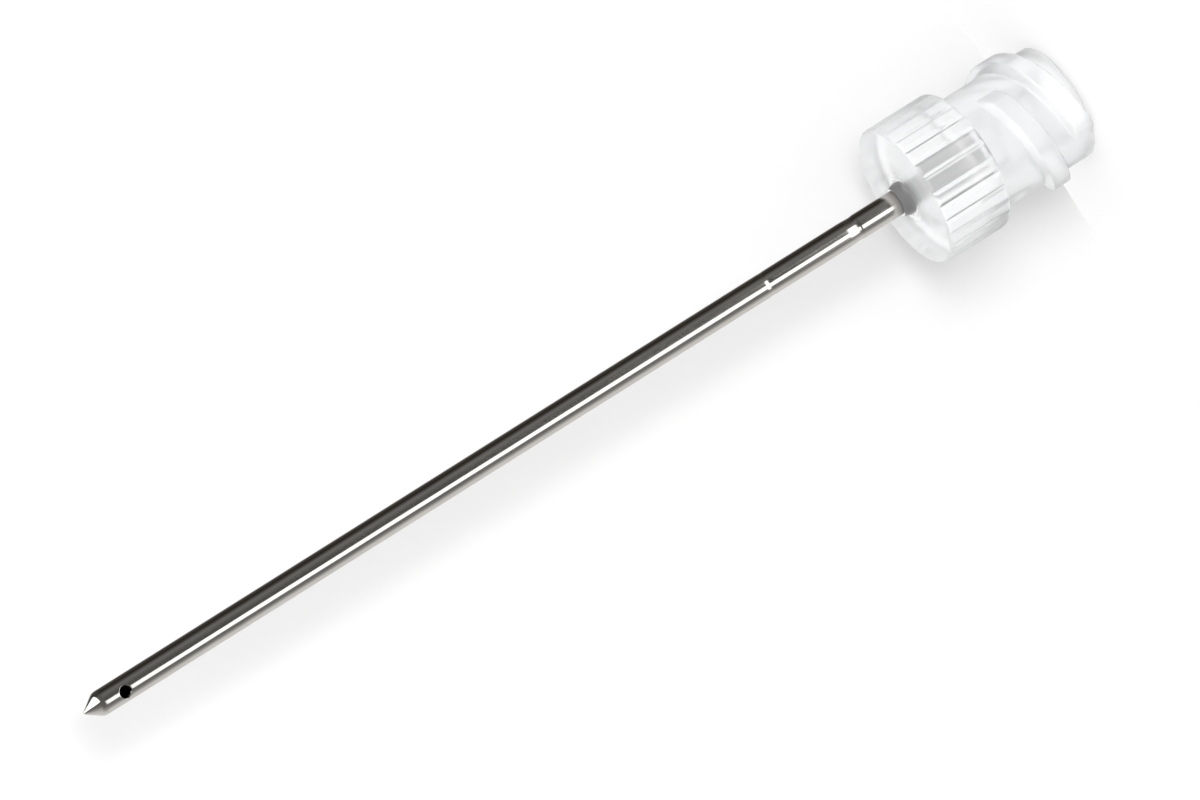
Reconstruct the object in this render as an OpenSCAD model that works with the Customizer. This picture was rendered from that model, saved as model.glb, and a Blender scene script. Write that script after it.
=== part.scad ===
// Dispensing needle tip: a side-port steel cannula in a moulded Luer-lock hub.
// Both pieces are drawn along +Z, with the closed point of the cannula at zero and the
// Luer mouth at the far end. stand_up() then stands the tip on its mouth, point up,
// because a round tip that lies on a table rolls.
// Angles around the axis count from the front, anticlockwise as seen from the mouth.

/* [Cannula] */
// Outside diameter of the steel tube
cannula_od = 1.42; // [1.3:0.01:1.55]
// Wall of the steel tube
cannula_wall = 0.18; // [0.12:0.01:0.25]
// Length of tube that stands clear of the hub, from the boss to the point
cannula_reach = 53.3; // [25:0.1:80]
// Included angle of the closed conical point
point_angle = 70; // [50:1:100]
// Radius of the blunt nose on the point
point_nose_r = 0.1; // [0.05:0.01:0.2]
// Solid length of the closed end, from the nose to the end of the lumen
closed_end = 1.9; // [1.5:0.05:2]
// Diameter of the side port
port_d = 0.72; // [0.4:0.01:0.9]
// Distance from the nose to the centre of the side port
port_setback = 2.38; // [2.3:0.01:4]
// Direction in which the side port faces
port_turn = 18; // [0:1:359]

/* [Collar] */
// Diameter over the ribs
collar_d = 8.2; // [8.15:0.05:9.5]
// Length of the ribbed collar
collar_len = 4.07; // [3:0.01:6]
// Number of ribs, and of the grooves between them
rib_count = 28; // [20:1:36]
// Width of a groove at the surface
groove_w = 0.34; // [0.15:0.01:0.45]
// Depth of a groove
groove_depth = 0.14; // [0.08:0.01:0.2]
// Direction in which the first groove faces
groove_turn = 9; // [0:1:359]
// Radius of the collar's front edge
front_edge_r = 0.22; // [0.1:0.01:0.4]
// Radius of the collar's rear edge
rear_edge_r = 0.35; // [0.2:0.01:0.6]

/* [Front boss] */
// Length of the boss around the cannula, ahead of the collar's face
boss_len = 0.57; // [0.3:0.01:1]
// Diameter of the boss at its front
boss_tip_d = 1.66; // [1.6:0.01:1.8]
// Diameter of the boss at its root
boss_root_d = 2.1; // [1.9:0.05:3]

/* [Barrel] */
// Diameter of the barrel behind the collar
barrel_d = 6.66; // [6.4:0.01:6.73]
// Length of the hub from the collar's front face to the Luer mouth
hub_len = 10.2; // [9.8:0.05:14]
// Radius of the edge around the Luer mouth
mouth_edge_r = 0.15; // [0.05:0.01:0.3]

/* [Luer socket] */
// Bore of the socket at the mouth
socket_mouth_d = 4.3; // [4.27:0.005:4.315]
// Taper of the socket, diameter per length
socket_taper = 0.06; // [0.055:0.001:0.065]

/* [Luer thread] */
// Diameter over the thread crests
thread_d = 7.8; // [7.73:0.01:7.83]
// Advance of one ridge in a full turn
thread_lead = 5; // [4.5:0.1:5.5]
// Number of ridges
thread_starts = 2; // [1:1:2]
// Width of a ridge at its crest
crest_w = 1.04; // [0.6:0.02:1.1]
// Axial slope of the flank that faces the cannula
front_flank = 0.27; // [0.1:0.01:0.4]
// Axial slope of the flank that faces the mouth
rear_flank = 0.12; // [0.05:0.01:0.4]
// Distance from the mouth back to the middle of a ridge where it begins
thread_reach = 4.2; // [3.5:0.05:4.6]
// Direction in which the first ridge begins
thread_turn = 315; // [0:1:359]
// Turn over which a ridge runs, from its start to its end near the mouth
thread_sweep = 272; // [180:1:300]
// Turn over which a ridge rises to its full height, and falls again at its end
thread_rise = 24; // [10:1:60]

/* [Hidden] */
$fn = 96;

// How far a cutting solid runs past the surface that it cuts
cut_clear = 0.2;
// How deep the root of a ridge is buried in the barrel
ridge_sink = 0.3;
// Turn between two cross-sections of a ridge
ridge_step = 6;
// Straight pieces in a rounded edge
arc_steps = 6;

cannula_r = cannula_od / 2;
lumen_r = cannula_r - cannula_wall;
point_half = point_angle / 2;
point_len = point_nose_r * (1 - sin(point_half))
    + (cannula_r - point_nose_r * cos(point_half)) / tan(point_half);

boss_z = cannula_reach;
face_z = boss_z + boss_len;
collar_end_z = face_z + collar_len;
mouth_z = face_z + hub_len;

collar_r = collar_d / 2;
barrel_r = barrel_d / 2;
thread_r = thread_d / 2;
socket_mouth_r = socket_mouth_d / 2;
socket_len = mouth_z - collar_end_z;
socket_floor_r = socket_mouth_r - socket_taper * socket_len / 2;

function arc_points(centre, r, from, to) =
    [for (i = [0:arc_steps])
        let (a = from + (to - from) * i / arc_steps)
        centre + r * [cos(a), sin(a)]];

hub_outline = concat(
    [[cannula_r, boss_z], [boss_tip_d / 2, boss_z], [boss_root_d / 2, face_z]],
    arc_points([collar_r - front_edge_r, face_z + front_edge_r], front_edge_r, -90, 0),
    arc_points([collar_r - rear_edge_r, collar_end_z - rear_edge_r], rear_edge_r, 0, 90),
    [[barrel_r, collar_end_z]],
    arc_points([barrel_r - mouth_edge_r, mouth_z - mouth_edge_r], mouth_edge_r, 0, 90),
    [[socket_mouth_r, mouth_z], [socket_floor_r, collar_end_z], [cannula_r, collar_end_z]]);

cannula_outline = concat(
    arc_points([0, point_nose_r], point_nose_r, -90, -point_half),
    [[cannula_r, point_len], [cannula_r, collar_end_z], [lumen_r, collar_end_z],
        [lumen_r, closed_end], [0, closed_end]]);

groove_outline =
    let (root_r = collar_r - groove_depth,
        half_slope = groove_w / 2 / groove_depth,
        out = groove_depth + cut_clear)
    [[root_r, 0], [root_r + out, out * half_slope], [root_r + out, -out * half_slope]];

// Cross-section of a ridge as radius and height; rise is 0 at its two ends and 1 at full height.
function ridge_section(rise) =
    let (root_r = barrel_r - ridge_sink,
        full = thread_r - root_r,
        crest_r = root_r + ridge_sink / 2 + (full - ridge_sink / 2) * rise,
        flank = (crest_r - root_r) / (thread_r - barrel_r))
    [[root_r, -crest_w / 2 - front_flank * flank], [crest_r, -crest_w / 2],
        [crest_r, crest_w / 2], [root_r, crest_w / 2 + rear_flank * flank]];

ridge_rings = ceil(thread_sweep / ridge_step);

ridge_points = [for (i = [0:ridge_rings])
    let (a = thread_sweep * i / ridge_rings,
        up = thread_lead * a / 360,
        rise = min(1, a / thread_rise, (thread_sweep - a) / thread_rise))
    for (p = ridge_section(rise))
    [p[0] * cos(a), p[0] * sin(a), p[1] + up]];

ridge_faces = concat(
    [[3, 2, 1, 0]],
    [for (i = [0:ridge_rings - 1], j = [0:3])
        let (a = 4 * i + j, b = 4 * i + (j + 1) % 4)
        [a, b, b + 4, a + 4]],
    [[for (j = [0:3]) 4 * ridge_rings + j]]);

module stand_up() {
    translate([0, 0, mouth_z]) rotate([180, 0, -90]) children();
}

module collar_grooves() {
    for (i = [0:rib_count - 1])
        rotate([0, 0, groove_turn + i * 360 / rib_count])
            translate([0, 0, face_z - cut_clear])
                linear_extrude(height = collar_len + 2 * cut_clear) polygon(groove_outline);
}

module thread_ridges() {
    intersection() {
        for (i = [0:thread_starts - 1])
            rotate([0, 0, thread_turn + i * 360 / thread_starts])
                translate([0, 0, mouth_z - thread_reach])
                    polyhedron(points = ridge_points, faces = ridge_faces, convexity = 6);
        translate([0, 0, collar_end_z])
            cylinder(r = collar_r, h = mouth_z - collar_end_z);
    }
}

module luer_hub() {
    color([0.93, 0.94, 0.93])
        stand_up() {
            difference() {
                rotate_extrude() polygon(hub_outline);
                collar_grooves();
            }
            thread_ridges();
        }
}

module cannula() {
    color([0.62, 0.61, 0.59])
        stand_up()
            difference() {
                rotate_extrude() polygon(cannula_outline);
                translate([0, 0, port_setback])
                    rotate([0, 90, port_turn])
                        cylinder(d = port_d, h = cannula_od, $fn = 48);
            }
}

luer_hub();
cannula();
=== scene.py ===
"""Looks of the dispensing needle tip, in the frame of its CAD model, in metres.

The tip stands on its mouth at the origin, point up along +Z, and -Y is its front.
Lengths along the needle (s) are in mm from the point, radii in mm, and turns round the
needle in degrees from the front, anticlockwise as seen from the mouth.
"""
import math

import bpy
from mathutils import Matrix, Vector


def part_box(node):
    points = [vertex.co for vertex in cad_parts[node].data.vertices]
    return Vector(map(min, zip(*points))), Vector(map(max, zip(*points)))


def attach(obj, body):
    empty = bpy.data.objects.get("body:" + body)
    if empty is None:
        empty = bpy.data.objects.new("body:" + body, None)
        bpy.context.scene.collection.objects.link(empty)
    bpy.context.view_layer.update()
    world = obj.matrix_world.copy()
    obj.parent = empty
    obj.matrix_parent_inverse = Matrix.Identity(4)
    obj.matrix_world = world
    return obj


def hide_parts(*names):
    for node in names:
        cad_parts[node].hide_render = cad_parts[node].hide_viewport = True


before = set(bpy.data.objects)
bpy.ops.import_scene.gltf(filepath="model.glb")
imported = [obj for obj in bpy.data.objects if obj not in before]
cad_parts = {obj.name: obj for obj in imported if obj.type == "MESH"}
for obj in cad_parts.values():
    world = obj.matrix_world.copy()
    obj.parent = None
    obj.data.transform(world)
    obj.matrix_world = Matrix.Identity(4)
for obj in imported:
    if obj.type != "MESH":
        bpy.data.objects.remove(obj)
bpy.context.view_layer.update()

MM = 0.001
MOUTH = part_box("cannula")[1].z / MM          # from the point to the mouth, which is at height 0

# Hub
BOSS, FACE, COLLAR_END = 53.3, 53.87, 57.94
BOSS_TIP_R, BOSS_EDGE_R, BOSS_TILT = 0.83, 0.04, 20    # the tilt of its side, in degrees
COLLAR_R, FRONT_EDGE_R, REAR_EDGE_R = 4.1, 0.22, 0.35
BARREL_R, CREST_R, MOUTH_EDGE_R = 3.33, 3.9, 0.15
RIBS, GROOVE_TURN, GROOVE_HALF, GROOVE_DEEP = 28, 9, 0.17, 0.14
SOCKET_MOUTH_R, SOCKET_FLOOR_R = 2.15, 1.966
SOCKET_EDGE_R, SOCKET_CORNER_R = 0.08, 0.12
LEAD, STARTS, THREAD_TURN, THREAD_REACH, THREAD_SWEEP = 5.0, 2, 315, 4.2, 272
CREST_HALF, FRONT_FLANK, REAR_FLANK, RISE = 0.52, 0.27, 0.12, 24

# Cannula
TUBE_R, LUMEN_R = 0.71, 0.53
NOSE_R, POINT_TILT = 0.1, 35                 # the point's slope from the axis, in degrees
CLOSED_END = 1.9
TUBE_END = COLLAR_END - 0.01                 # just short of the socket's floor
PORT_R, PORT_S, PORT_TURN = 0.36, 2.38, 18
PORT_EDGE_R = 0.03
SHOULDER_R = 0.6                             # rounding between the point and the tube
# Faint rings round the tube: start, deepest place, end, depth
RING_MARKS = ((44.35, 44.65, 44.95, 0.012), (49.8, 50.56, 50.8, 0.026))


def point(r, turn, s):
    """A point of the needle tip, in metres, from its radius, turn and length."""
    a = math.radians(turn)
    return (-r * math.sin(a) * MM, -r * math.cos(a) * MM, (MOUTH - s) * MM)


def arc(r, s, radius, start, end, steps):
    """Profile points on an arc round (r, s), by angles in degrees from +r towards +s."""
    out = []
    for i in range(steps + 1):
        a = math.radians(start + (end - start) * i / steps)
        out.append((r + radius * math.cos(a), s + radius * math.sin(a)))
    return out


def line(a, b, steps):
    """Profile points from a to b, without a."""
    return [(a[0] + (b[0] - a[0]) * i / steps, a[1] + (b[1] - a[1]) * i / steps)
            for i in range(1, steps + 1)]


def smooth_step(x):
    x = max(0, min(1, x))
    return x * x * (3 - 2 * x)


def make_object(name, verts, faces):
    mesh = bpy.data.meshes.new(name)
    mesh.from_pydata(verts, [], faces)
    mesh.validate()
    mesh.update()
    obj = bpy.data.objects.new(name, mesh)
    bpy.context.scene.collection.objects.link(obj)
    return obj


# ---------------------------------------------------------------- cannula

COLUMNS = 160                                # the first one lies in the middle of the port
HOLE_COLUMNS, HOLE_ROWS, HOLE_HALF = 50, 24, 0.6    # the part of the wall round the port
HOLE_START = COLUMNS - HOLE_COLUMNS // 2
HOLE_S = [PORT_S + HOLE_HALF * (2 * i / HOLE_ROWS - 1) for i in range(HOLE_ROWS + 1)]
MARK_STEPS, PORT_EDGE_STEPS = 8, 4
TUBE_STOPS = (10, 20, 30, 40, 44, 47, 49.5, 53.2, 55, TUBE_END)
LUMEN_STOPS = (TUBE_END, 40, 20, 8, HOLE_S[-1])


def tube_radius(s):
    """Outer radius along the straight tube, with its two faint ring marks."""
    r = TUBE_R
    for start, deepest, end, depth in RING_MARKS:
        share = (s - start) / (deepest - start) if s < deepest else (end - s) / (end - deepest)
        r -= depth * smooth_step(share)
    return r


def rim_spot(turn, ds, wall_r, rim_r):
    """A spot of the wall, moved along the line to the port's axis till it is rim_r away."""
    across = wall_r * math.sin(math.radians(turn))
    length = math.hypot(across, ds)
    return rim_r * across / length, rim_r * ds / length


def cannula_mesh():
    verts, faces = [], []
    turns = [PORT_TURN + 360 * i / COLUMNS for i in range(COLUMNS)]
    in_hole = [(i - HOLE_START) % COLUMNS < HOLE_COLUMNS for i in range(COLUMNS)]

    def ring(r, s):
        start = len(verts)
        verts.extend(point(r, t, s) for t in turns)
        return start

    def bridge(a, b, hole=False):
        for i in range(COLUMNS):
            if hole and in_hole[i]:
                continue
            j = (i + 1) % COLUMNS
            faces.append((b + i, b + j, a + j, a + i))

    def extend(last, profile):
        """Rings on from the last one. Returns the new last one."""
        for r, s in profile:
            new = ring(r, s)
            bridge(last, new)
            last = new
        return last

    def pierced_rows(start, r, stops):
        """Rings on from the start past the side port, with a hole left in them."""
        rows = [start] + [ring(r, s) for s in stops]
        for a, b in zip(rows, rows[1:]):
            bridge(a, b, hole=True)
        return rows

    def hole_border(rows):
        """Vertices round the hole, from rows in the order of their lengths."""
        def column(k):
            return (HOLE_START + k) % COLUMNS

        border = [rows[0] + column(k) for k in range(HOLE_COLUMNS)]
        border += [rows[k] + column(HOLE_COLUMNS) for k in range(HOLE_ROWS)]
        border += [rows[-1] + column(HOLE_COLUMNS - k) for k in range(HOLE_COLUMNS)]
        border += [rows[-1 - k] + column(0) for k in range(HOLE_ROWS)]
        return border

    def where(index):
        """Turn from the port and length from its centre, of a vertex on the tube."""
        x, y, z = (c / MM for c in verts[index])
        turn = math.degrees(math.atan2(-x, -y)) - PORT_TURN
        return (turn + 180) % 360 - 180, MOUTH - z - PORT_S

    def stitch(a, b, flip):
        for i in range(len(a)):
            j = (i + 1) % len(a)
            quad = (a[i], a[j], b[j], b[i])
            faces.append(quad if flip else quad[::-1])

    def hole_rings(border, wall_r, rim_r, steps, flip):
        """Rings on the wall, from the border in to a circle of radius rim_r round the port."""
        last = border
        spots = [where(i) for i in border]
        for n in range(1, steps + 1):
            new = []
            for turn, ds in spots:
                across, rim_ds = rim_spot(turn, ds, wall_r, rim_r)
                rim_turn = math.degrees(math.asin(across / wall_r))
                new.append(len(verts))
                verts.append(point(wall_r, PORT_TURN + turn + (rim_turn - turn) * n / steps,
                                   PORT_S + ds + (rim_ds - ds) * n / steps))
            stitch(last, new, flip)
            last = new
        return last

    def port_ring(spots, rim_r, sink):
        """A circle round the port's axis, sunk below the tube's outside along that axis."""
        new = []
        a = math.radians(PORT_TURN)
        for turn, ds in spots:
            across, rim_ds = rim_spot(turn, ds, TUBE_R, rim_r)
            depth = math.sqrt(TUBE_R ** 2 - across ** 2) - sink
            new.append(len(verts))
            verts.append(((-depth * math.sin(a) - across * math.cos(a)) * MM,
                          (-depth * math.cos(a) + across * math.sin(a)) * MM,
                          (MOUTH - PORT_S - rim_ds) * MM))
        return new

    # outside, from the nose to the port
    tilt = math.radians(POINT_TILT)
    cone_end = NOSE_R * (1 - math.sin(tilt)) + (TUBE_R - NOSE_R * math.cos(tilt)) / math.tan(tilt)
    nose = arc(0, NOSE_R, NOSE_R, -90, -POINT_TILT, steps=6)[1:]
    shoulder = arc(TUBE_R - SHOULDER_R, cone_end + SHOULDER_R * math.tan(tilt / 2), SHOULDER_R,
                   -POINT_TILT, 0, steps=10)
    outer = nose + line(nose[-1], shoulder[0], steps=8) + shoulder[1:]
    outer += line(outer[-1], (TUBE_R, HOLE_S[0]), steps=5)
    tip = len(verts)
    verts.append(point(0, 0, 0))
    first = ring(*outer[0])
    for i in range(COLUMNS):
        faces.append((tip, first + (i + 1) % COLUMNS, first + i))
    rows = pierced_rows(extend(first, outer[1:]), TUBE_R, HOLE_S[1:])

    # the port's rounded edge
    border = hole_border(rows)
    spots = [where(i) for i in border]
    edge = hole_rings(border, TUBE_R, PORT_R + PORT_EDGE_R, steps=8, flip=False)
    for k in range(1, PORT_EDGE_STEPS + 1):
        a = math.radians(90 * k / PORT_EDGE_STEPS)
        new = port_ring(spots, PORT_R + PORT_EDGE_R * (1 - math.sin(a)),
                        PORT_EDGE_R * (1 - math.cos(a)))
        stitch(edge, new, flip=False)
        edge = new

    # the straight tube to its end, and the lumen back to its closed end
    stops = list(TUBE_STOPS)
    for start, deepest, end, _ in RING_MARKS:
        stops += [start + (deepest - start) * k / MARK_STEPS for k in range(MARK_STEPS + 1)]
        stops += [deepest + (end - deepest) * k / MARK_STEPS for k in range(1, MARK_STEPS + 1)]
    last = extend(rows[-1], [(tube_radius(s), s) for s in sorted(stops)])
    last = extend(last, [(LUMEN_R, s) for s in LUMEN_STOPS])
    rows = pierced_rows(last, LUMEN_R, HOLE_S[-2::-1])[::-1]
    inside = hole_rings(hole_border(rows), LUMEN_R, PORT_R, steps=5, flip=True)
    stitch(edge, inside, flip=False)
    last = extend(rows[0], [(LUMEN_R, CLOSED_END)])
    end = len(verts)
    verts.append(point(0, 0, CLOSED_END))
    for i in range(COLUMNS):
        faces.append((last + i, end, last + (i + 1) % COLUMNS))
    return verts, faces


# ---------------------------------------------------------------- hub

PITCH = 360 / RIBS
COLUMN_STOPS = (0.25, 0.9, 1.7, 2.38, 2.9, 4.0)    # degrees from a groove's middle
BARREL_ROWS, MOUTH_EDGE_STEPS, MOUTH_STEPS = 150, 5, 5
SEAT_R = TUBE_R - 0.02                       # a little inside the steel, so that no gap shows
SEAT_LAST = 0.3                              # from the boss's front to the last row of the seat
BOSS_FOOT_R, BOSS_FOOT_UP = 1.02, 0.09       # the end of its side: radius, height above the face
BOSS_FILLET_R, BOSS_FILLET_CENTRE = 0.10, 1.14
NECK_OUT, NECK_DOWN = 0.05, 0.04             # chamfer between the collar and the barrel
# How far two blended surfaces round each other off
GROOVE_ROUND, GROOVE_FLOOR_ROUND, CREST_ROUND, ROOT_ROUND = 0.03, 0.02, 0.12, 0.10


def smooth_min(a, b, k):
    """The smaller of a and b, with a rounded change from one to the other."""
    h = max(k - abs(a - b), 0) / k
    return min(a, b) - h * h * k / 4


def smooth_max(a, b, k):
    return -smooth_min(-a, -b, k)


def groove_radius(turn):
    """Radius of the flanks of the nearest groove."""
    off = (turn - GROOVE_TURN + PITCH / 2) % PITCH - PITCH / 2
    across = abs(COLLAR_R * math.radians(off))
    slope = GROOVE_DEEP / GROOVE_HALF
    return COLLAR_R - GROOVE_DEEP + slope * math.sqrt(across ** 2 + GROOVE_FLOOR_ROUND ** 2)


def thread_radius(turn, s):
    """Radius of the barrel with its two ridges."""
    r = BARREL_R
    high = CREST_R - BARREL_R
    for start in range(STARTS):
        run = (turn - THREAD_TURN - start * 360 / STARTS) % 360
        rise = smooth_step(min(run, THREAD_SWEEP - run) / RISE)
        off = s - (MOUTH - THREAD_REACH + LEAD * run / 360)
        front = BARREL_R + high * (off + CREST_HALF + FRONT_FLANK) / FRONT_FLANK
        rear = BARREL_R + high * (CREST_HALF + REAR_FLANK - off) / REAR_FLANK
        ridge = smooth_min(smooth_min(front, rear, CREST_ROUND), CREST_R, CREST_ROUND)
        if rise > 0 and ridge > BARREL_R - ROOT_ROUND:
            r = smooth_max(r, BARREL_R + (ridge - BARREL_R) * rise, ROOT_ROUND * rise)
    return min(r, CREST_R)


def hub_mesh():
    turns = []
    for i in range(RIBS):
        middle = GROOVE_TURN + i * PITCH
        turns += [middle - d for d in reversed(COLUMN_STOPS)] + [middle + d for d in COLUMN_STOPS]
    verts, rows = [], []

    def add_row(radii, s):
        rows.append(len(verts))
        for turn, r in zip(turns, radii):
            verts.append(point(r, turn, s))

    # boss and collar
    outer = [(SEAT_R, BOSS)]
    outer += arc(BOSS_TIP_R - BOSS_EDGE_R, BOSS + BOSS_EDGE_R, BOSS_EDGE_R, -90, -BOSS_TILT,
                 steps=4)
    outer += line(outer[-1], (BOSS_FOOT_R, FACE - BOSS_FOOT_UP), steps=4)
    outer += arc(BOSS_FILLET_CENTRE, FACE - BOSS_FILLET_R, BOSS_FILLET_R, 180 - BOSS_TILT, 90,
                 steps=4)
    outer += line(outer[-1], (COLLAR_R - FRONT_EDGE_R, FACE), steps=9)
    outer += arc(COLLAR_R - FRONT_EDGE_R, FACE + FRONT_EDGE_R, FRONT_EDGE_R, -90, 0, steps=9)[1:]
    outer += line(outer[-1], (COLLAR_R, COLLAR_END - REAR_EDGE_R), steps=8)
    outer += arc(COLLAR_R - REAR_EDGE_R, COLLAR_END - REAR_EDGE_R, REAR_EDGE_R, 0, 90,
                 steps=14)[1:]
    outer += [(BARREL_R + NECK_OUT, COLLAR_END)]
    for r, s in outer:
        add_row([smooth_min(r, groove_radius(t), GROOVE_ROUND) for t in turns], s)

    # barrel with its thread, and the ring that it stands on
    start, edge_s = COLLAR_END + NECK_DOWN, MOUTH - MOUTH_EDGE_R
    for k in range(BARREL_ROWS + 1):
        s = start + (edge_s - start) * k / BARREL_ROWS
        add_row([thread_radius(t, s) for t in turns], s)
    for k in range(1, MOUTH_EDGE_STEPS + 1):
        a = math.radians(90 * k / MOUTH_EDGE_STEPS)
        s = edge_s + MOUTH_EDGE_R * math.sin(a)
        inset = MOUTH_EDGE_R * (1 - math.cos(a))
        add_row([thread_radius(t, s) - inset for t in turns], s)
    rim = [thread_radius(t, MOUTH) - MOUTH_EDGE_R for t in turns]
    inner_edge = SOCKET_MOUTH_R + SOCKET_EDGE_R
    for k in range(1, MOUTH_STEPS + 1):
        add_row([r + (inner_edge - r) * k / MOUTH_STEPS for r in rim], MOUTH)

    # socket and the seat of the tube, back to the boss
    inner = arc(inner_edge, MOUTH - SOCKET_EDGE_R, SOCKET_EDGE_R, 90, 180, steps=4)[1:]
    inner += line(inner[-1], (SOCKET_FLOOR_R, COLLAR_END + SOCKET_CORNER_R), steps=12)
    inner += arc(SOCKET_FLOOR_R - SOCKET_CORNER_R, COLLAR_END + SOCKET_CORNER_R, SOCKET_CORNER_R,
                 0, -90, steps=4)[1:]
    inner += line(inner[-1], (SEAT_R, COLLAR_END), steps=5)
    inner += line((SEAT_R, COLLAR_END), (SEAT_R, BOSS + SEAT_LAST), steps=5)
    for r, s in inner:
        add_row([r] * len(turns), s)

    faces = []
    for a, b in zip(rows, rows[1:] + rows[:1]):
        for i in range(len(turns)):
            j = (i + 1) % len(turns)
            faces.append((a + i, a + j, b + j, b + i))
    return verts, faces


# ---------------------------------------------------------------- materials

BUMP_HEIGHT = 0.01 * MM


def fill(tree, socket, value):
    """Links a socket to another node's output, or sets its own value."""
    if isinstance(value, bpy.types.NodeSocket):
        tree.links.new(value, socket)
    else:
        socket.default_value = value


def node(tree, kind, *inputs, **values):
    """A new node: inputs fill its sockets in order, values its sockets or options by name."""
    made = tree.nodes.new(kind)
    for key, value in values.items():
        if key in made.inputs:
            fill(tree, made.inputs[key], value)
        else:
            setattr(made, key, value)
    for socket, value in zip(made.inputs, inputs):
        fill(tree, socket, value)
    return made


def maths(tree, operation, a, b):
    return node(tree, "ShaderNodeMath", a, b, operation=operation).outputs[0]


def mixed(tree, share, a, b):
    """Shader a, with a share of shader b."""
    return node(tree, "ShaderNodeMixShader", share, a, b).outputs[0]


def map_range(tree, value, start, end, at_start, at_end):
    """at_start up to the start, at_end from the end on, and evenly between."""
    return node(tree, "ShaderNodeMapRange", value, start, end, at_start, at_end).outputs[0]


def ramp(tree, source, stops):
    """Colours or levels by place on the source, from 0 to 1."""
    made = node(tree, "ShaderNodeValToRGB", source)
    ends = made.color_ramp.elements
    while len(ends) < len(stops):
        ends.new(0.5)
    for end, (place, value) in zip(ends, stops):
        end.position = place
        end.color = (value, value, value, 1) if isinstance(value, float) else (*value, 1)
    return made.outputs[0]


def noise(tree, place, scale_and_detail):
    scale, detail = scale_and_detail
    return node(tree, "ShaderNodeTexNoise", place, Scale=scale, Detail=detail).outputs["Fac"]


def bump(tree, height, strength):
    made = node(tree, "ShaderNodeBump", Strength=strength, Distance=BUMP_HEIGHT)
    fill(tree, made.inputs["Height"], height)
    return made.outputs[0]


def new_material(name):
    """A material, its tree and its Principled shader."""
    made = bpy.data.materials.new(name)
    made.use_nodes = True
    return made, made.node_tree, made.node_tree.nodes["Principled BSDF"]


def set_surface(tree, shader):
    fill(tree, tree.nodes["Material Output"].inputs["Surface"], shader)


# Each noise has a scale and a detail
STREAKS, BLOTCHES, CLOUDS, GRAIN = (9000.0, 3.0), (420.0, 4.0), (350.0, 3.0), (6000.0, 2.0)
STREAK_STRETCH = (1, 1, 0.02)                # the streaks are drawn out along the tube
STREAK_BUMP, GRAIN_BUMP = 0.12, 0.15
STEEL_COLOURS = [(0.3, (0.61, 0.585, 0.555)), (0.7, (0.67, 0.645, 0.61))]
STEEL_ROUGHNESS = [(0.3, 0.10), (0.7, 0.16)]
# Painted shade: how bright the steel's colour is drawn, from the socket's floor to half a mm
# beyond the boss. It is dark inside the hub and darker just before the boss.
PAINTED_SHADE_PAST = 0.5
PAINTED_SHADE_AT_HUB = [(0.11, 0.7), (0.25, 0.10), (0.77, 0.04), (0.88, 0.04), (0.92, 0.4), (1.0, 1.0)]


def steel_material():
    """Bright drawn stainless steel with fine streaks along the tube, and painted shade that
    darkens its colour inside the hub and just before the boss.
    """
    made, tree, shader = new_material("drawn_steel")
    place = node(tree, "ShaderNodeTexCoord").outputs["Object"]
    stretched = node(tree, "ShaderNodeMapping", place, Scale=STREAK_STRETCH).outputs[0]
    streaks = noise(tree, stretched, STREAKS)
    colour = ramp(tree, noise(tree, place, BLOTCHES), STEEL_COLOURS)
    height = node(tree, "ShaderNodeSeparateXYZ", place).outputs["Z"]
    along = map_range(tree, height, (MOUTH - COLLAR_END) * MM, (MOUTH - BOSS + PAINTED_SHADE_PAST) * MM,
                      0.0, 1.0)
    # painted shade: the steel's colour is scaled down inside the hub and just before the boss
    colour_with_painted_shade = node(tree, "ShaderNodeVectorMath", colour, operation="SCALE",
                Scale=ramp(tree, along, PAINTED_SHADE_AT_HUB)).outputs[0]
    fill(tree, shader.inputs["Metallic"], 1)
    fill(tree, shader.inputs["Base Color"], colour_with_painted_shade)
    fill(tree, shader.inputs["Roughness"], ramp(tree, streaks, STEEL_ROUGHNESS))
    fill(tree, shader.inputs["Normal"], bump(tree, streaks, STREAK_BUMP))
    return made


PLASTIC_IOR, PLASTIC_SPECULAR = 1.49, 0.3
PLASTIC_COLOURS = [(0.3, (0.975, 0.98, 0.99)), (0.7, (0.985, 0.987, 0.99))]
PLASTIC_ROUGHNESS = [(0.3, 0.20), (0.7, 0.25)]
INSIDE_ROUGHNESS = 0.8                       # share of it on the way out of the plastic
VEIL_COLOUR, VEIL_TRANSLUCENT = (0.83, 0.835, 0.845, 1), 0.35
MILK = 0.48                                  # share of the veil over thick plastic
THIN_MILK, THIN_TO, THICK_FROM = 0.4, 1.0, 2.4    # share of that over thin plastic, and radii
LET_THROUGH = 0.5                            # share of the light that casts no shadow


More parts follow.
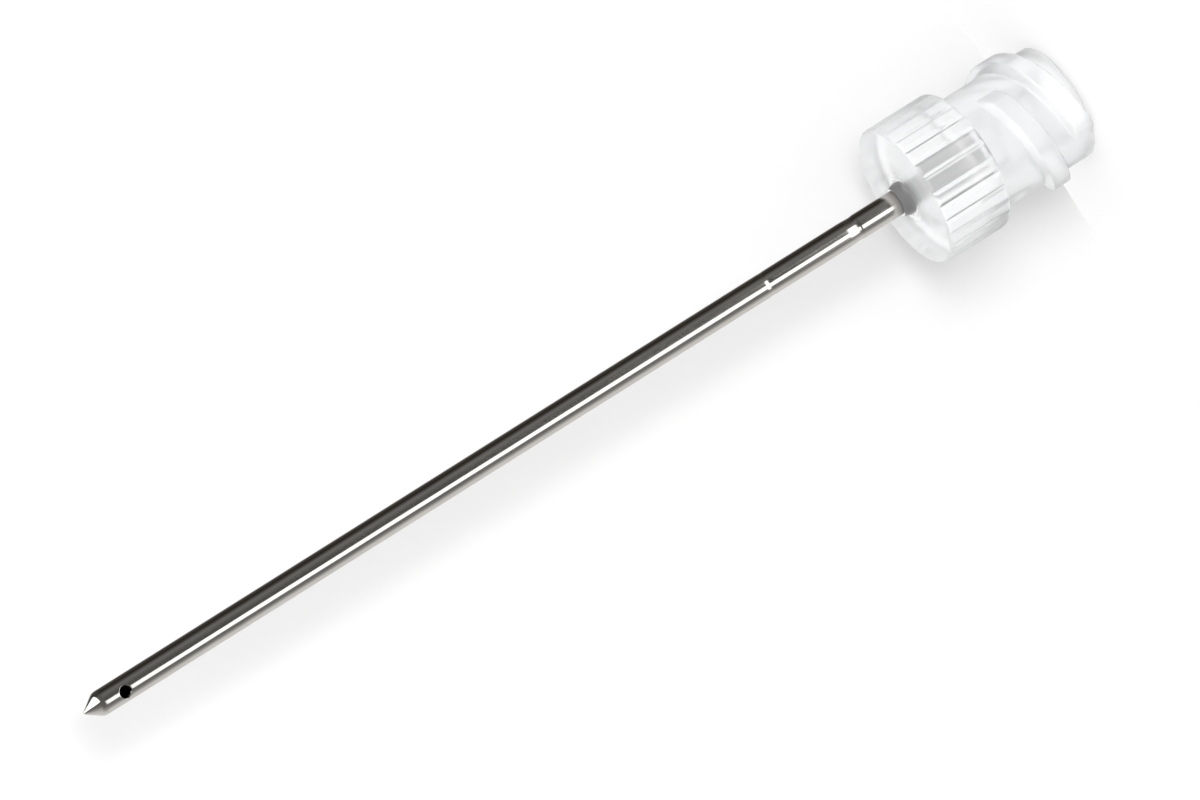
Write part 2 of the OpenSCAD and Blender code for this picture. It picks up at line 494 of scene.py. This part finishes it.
def plastic_material():
    """Natural moulded polypropylene: clear plastic with a milky veil and a satin skin."""
    made, tree, shader = new_material("natural_plastic")
    place = node(tree, "ShaderNodeTexCoord").outputs["Object"]
    cloud = noise(tree, place, CLOUDS)
    leaving = node(tree, "ShaderNodeNewGeometry").outputs["Backfacing"]
    polish = map_range(tree, leaving, 0.0, 1.0, 1.0, INSIDE_ROUGHNESS)
    rough = maths(tree, "MULTIPLY", ramp(tree, cloud, PLASTIC_ROUGHNESS), polish)
    fill(tree, shader.inputs["IOR"], PLASTIC_IOR)
    fill(tree, shader.inputs["Transmission Weight"], 1.0)
    fill(tree, shader.inputs["Specular IOR Level"], PLASTIC_SPECULAR)
    fill(tree, shader.inputs["Base Color"], ramp(tree, cloud, PLASTIC_COLOURS))
    fill(tree, shader.inputs["Roughness"], rough)
    fill(tree, shader.inputs["Normal"], bump(tree, noise(tree, place, GRAIN), GRAIN_BUMP))

    # the veil lies only where light comes in, and the plastic over the tube is thin at the boss
    veil = mixed(tree, VEIL_TRANSLUCENT,
                 node(tree, "ShaderNodeBsdfDiffuse", Color=VEIL_COLOUR).outputs[0],
                 node(tree, "ShaderNodeBsdfTranslucent", Color=VEIL_COLOUR).outputs[0])
    flat = node(tree, "ShaderNodeVectorMath", place, (1, 1, 0), operation="MULTIPLY").outputs[0]
    radius = node(tree, "ShaderNodeVectorMath", flat, operation="LENGTH").outputs["Value"]
    thin = map_range(tree, radius, THIN_TO * MM, THICK_FROM * MM, THIN_MILK, 1.0)
    milk = maths(tree, "MULTIPLY", map_range(tree, leaving, 0.0, 1.0, MILK, 0.0), thin)
    veiled = mixed(tree, milk, shader.outputs[0], veil)

    # some light goes on through the plastic, so its shadow is weaker than the steel's
    for_shadow = node(tree, "ShaderNodeLightPath").outputs["Is Shadow Ray"]
    passing = maths(tree, "MULTIPLY", for_shadow, LET_THROUGH)
    clear = node(tree, "ShaderNodeBsdfTransparent").outputs[0]
    set_surface(tree, mixed(tree, passing, veiled, clear))
    return made


for name, build, material, cad, slot, sharp in (
    ("needle_tube", cannula_mesh, steel_material(), "cannula", "cannula_steel", 40),
    ("moulded_hub", hub_mesh, plastic_material(), "luer_hub", "hub_plastic", 50),
):
    piece = make_object(name, *build())
    piece.data.materials.append(material)
    piece.data.shade_smooth()
    piece.data.set_sharp_from_angle(angle=math.radians(sharp))
    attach(piece, "root")
    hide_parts(cad)


# ---------------------------------------------------------------- stage

def hide_from(obj, *rays):
    for ray in rays:
        setattr(obj, "visible_" + ray, False)


def sheet(name, corners, material):
    obj = make_object(name, corners, [(0, 1, 2, 3)])
    obj.data.materials.append(material)
    return obj


PAPER = (0.595, 0.595, 0.595, 1)             # shows as white under these lamps


def paper_material(name, lit, glowing=1.0, one_sided=False):
    """White paper. The camera sees its share lit take light and shadow, and the rest glow;
    through the plastic it only glows."""
    made, tree, unused = new_material(name)
    tree.nodes.remove(unused)
    path = node(tree, "ShaderNodeLightPath")
    seen = maths(tree, "MULTIPLY", path.outputs["Is Camera Ray"], 1 - lit)
    share = maths(tree, "MAXIMUM", seen, path.outputs["Is Transmission Ray"])
    paper = node(tree, "ShaderNodeBsdfDiffuse", Color=PAPER).outputs[0]
    glow = node(tree, "ShaderNodeEmission", Color=(1, 1, 1, 1), Strength=glowing).outputs[0]
    surface = mixed(tree, share, paper, glow)
    if one_sided:
        behind = node(tree, "ShaderNodeNewGeometry").outputs["Backfacing"]
        clear = node(tree, "ShaderNodeBsdfTransparent").outputs[0]
        surface = mixed(tree, behind, surface, clear)
    set_surface(tree, surface)
    return made


FLOOR = 1.5                                  # half the floor's width
floor = sheet("floor", [(-FLOOR, -FLOOR, 0), (FLOOR, -FLOOR, 0), (FLOOR, FLOOR, 0),
                        (-FLOOR, FLOOR, 0)], paper_material("floor_paper", 0.3, 1.02))
hide_from(floor, "glossy")

WALL_HALF, WALL_Y, WALL_LOW, WALL_HIGH = 0.09, 0.006, -0.002, 0.14
wall = sheet("backdrop", [(-WALL_HALF, WALL_Y, WALL_LOW), (WALL_HALF, WALL_Y, WALL_LOW),
                          (WALL_HALF, WALL_Y, WALL_HIGH), (-WALL_HALF, WALL_Y, WALL_HIGH)],
             paper_material("backdrop_paper", 0.8, one_sided=True))
hide_from(wall, "glossy", "shadow", "diffuse")


# What the steel and the skin of the plastic reflect: four bands of light and dark panels, one
# above the other, each by turn round the needle as (turn, level)
STUDIO_LOW = (
    (-180, 1.0), (-165, 0.5), (-140, 0.1), (-88, 0.05), (-57, 0.15), (-30, 0.3), (-24, 2.4),
    (52, 2.4), (58, 0.3), (79, 0.4), (103, 0.8), (150, 0.9), (180, 1.0),
)
STUDIO_TUBE = (
    (-180, 1.0), (-168, 0.6), (-158, 0.3), (-140, 0.12), (-118, 0.07), (-104, 0.035),
    (-88, 0.033), (-79, 0.06), (-68, 0.12), (-57, 0.2), (-45, 0.21), (-30, 0.155), (-13, 0.115),
    (-1, 0.1), (8, 0.13), (12, 2.4), (35, 2.4), (40, 0.35), (48, 0.19), (58, 0.2), (68, 0.27),
    (79, 0.42), (90, 0.66), (103, 0.88), (140, 0.8), (165, 0.95), (180, 1.0),
)
STUDIO_SHOULDER = (
    (-180, 1.0), (-165, 0.8), (-140, 0.1), (-88, 0.05), (-57, 0.13), (0, 0.13), (48, 0.17),
    (79, 0.4), (103, 0.75), (150, 0.9), (180, 1.0),
)
STUDIO_POINT = (
    (-180, 1.0), (-140, 0.1), (-118, 0.12), (-110, 2.4), (-18, 2.4), (-10, 0.12), (30, 0.18),
    (60, 0.4), (100, 0.75), (150, 0.9), (180, 1.0),
)
PANELS_R, PANELS_STEPS = 0.25, 180
# Panels darker than this share of the brightest turn brown: they lose green and blue
WARM_BELOW, GREEN_LOSS, BLUE_LOSS = 0.05, 0.2, 0.45


def wrap_mesh(low, high):
    """An upright band round the tip."""
    verts, faces = [], []
    for i in range(PANELS_STEPS):
        a = 2 * math.pi * i / PANELS_STEPS
        for z in (low, high):
            verts.append((PANELS_R * math.sin(a), PANELS_R * math.cos(a), z))
    for i in range(PANELS_STEPS):
        j = (i + 1) % PANELS_STEPS
        faces.append((2 * i, 2 * j, 2 * j + 1, 2 * i + 1))
    return verts, faces


def warm(level):
    """A dark panel is a warm brown, a light one white."""
    depth = max(0, 1 - level / WARM_BELOW)
    return (level, level * (1 - GREEN_LOSS * depth), level * (1 - BLUE_LOSS * depth))


def studio_material(name, levels):
    """Light and dark panels round the tip, as one ramp by turn."""
    made, tree, unused = new_material(name)
    tree.nodes.remove(unused)
    place = node(tree, "ShaderNodeTexCoord").outputs["Object"]
    split = node(tree, "ShaderNodeSeparateXYZ", place)
    turn = maths(tree, "ARCTAN2", maths(tree, "MULTIPLY", split.outputs["X"], -1),
                 maths(tree, "MULTIPLY", split.outputs["Y"], -1))
    share = map_range(tree, turn, -math.pi, math.pi, 0.0, 1.0)
    brightest = max(level for _, level in levels)
    shown = ramp(tree, share, [((t + 180) / 360, warm(level / brightest)) for t, level in levels])
    set_surface(tree, node(tree, "ShaderNodeEmission", shown, brightest).outputs[0])
    return made


for name, low, high, levels in (
    ("panels_low", -0.4, -0.088, STUDIO_LOW),
    ("panels_tube", -0.088, -0.012, STUDIO_TUBE),
    ("panels_shoulder", -0.012, 0.19, STUDIO_SHOULDER),
    ("panels_point", 0.19, 0.5, STUDIO_POINT),
):
    wrap = make_object(name, *wrap_mesh(low, high))
    wrap.data.materials.append(studio_material(name, levels))
    hide_from(wrap, "camera", "diffuse", "shadow")

# The air lights the tip softly, and is white to the camera, to reflections and through plastic
AMBIENT = 0.6
world = bpy.data.worlds.new("studio_air")
bpy.context.scene.world = world
world.use_nodes = True
air = world.node_tree
path = node(air, "ShaderNodeLightPath")
direct = maths(air, "MAXIMUM", path.outputs["Is Camera Ray"], path.outputs["Is Transmission Ray"])
plain = maths(air, "MAXIMUM", direct, path.outputs["Is Glossy Ray"])
sky = air.nodes["Background"]
fill(air, sky.inputs["Color"], (1, 1, 1, 1))
fill(air, sky.inputs["Strength"], map_range(air, plain, 0.0, 1.0, AMBIENT, 1.0))


def softbox(name, place, target, width, power):
    """A square lamp that is seen in no reflection and through no plastic."""
    data = bpy.data.lights.new(name, "AREA")
    data.shape, data.size, data.size_y, data.energy = "RECTANGLE", width, width, power
    obj = bpy.data.objects.new(name, data)
    bpy.context.scene.collection.objects.link(obj)
    obj.location = place
    obj.rotation_mode = "QUATERNION"
    obj.rotation_quaternion = (Vector(target) - Vector(place)).to_track_quat("-Z", "Y")
    hide_from(obj, "glossy", "transmission")


softbox("key_softbox", (0.11, -0.50, 0.06), (0, 0, 0.03), 0.28, 3.0)
softbox("overhead_softbox", (0, -0.12, 0.50), (0, 0, 0.01), 0.40, 3.0)


# ---------------------------------------------------------------- camera

# The camera is in front of the tip and above it, and rolled, so the needle lies at a slant
CAMERA_RISE, CAMERA_ROLL = math.radians(19.132), math.radians(32.176)
DISTANCE, ASIDE, ABOVE = 1.2, 1.3257 * MM, 0.2556 * MM
LENS, SENSOR = 683.82, 36
NEAR, FAR = 0.01, 10

camera_data = bpy.data.cameras.new("camera")
camera_data.lens, camera_data.sensor_width = LENS, SENSOR
camera_data.clip_start, camera_data.clip_end = NEAR, FAR
camera = bpy.data.objects.new("camera", camera_data)
bpy.context.scene.collection.objects.link(camera)
bpy.context.scene.camera = camera
back = Vector((0, -math.cos(CAMERA_RISE), math.sin(CAMERA_RISE)))
level_up = Vector((0, math.sin(CAMERA_RISE), math.cos(CAMERA_RISE)))
level_right = Vector((1, 0, 0))
right = -math.cos(CAMERA_ROLL) * level_up - math.sin(CAMERA_ROLL) * level_right
up = -math.sin(CAMERA_ROLL) * level_up + math.cos(CAMERA_ROLL) * level_right
camera.rotation_mode = "QUATERNION"
camera.rotation_quaternion = Matrix((right, up, back)).transposed().to_quaternion()
camera.location = (Vector((0, 0, MOUTH * MM / 2)) + ASIDE * right + ABOVE * up
                   + DISTANCE * back)

bpy.context.scene.view_settings.view_transform = "Standard"
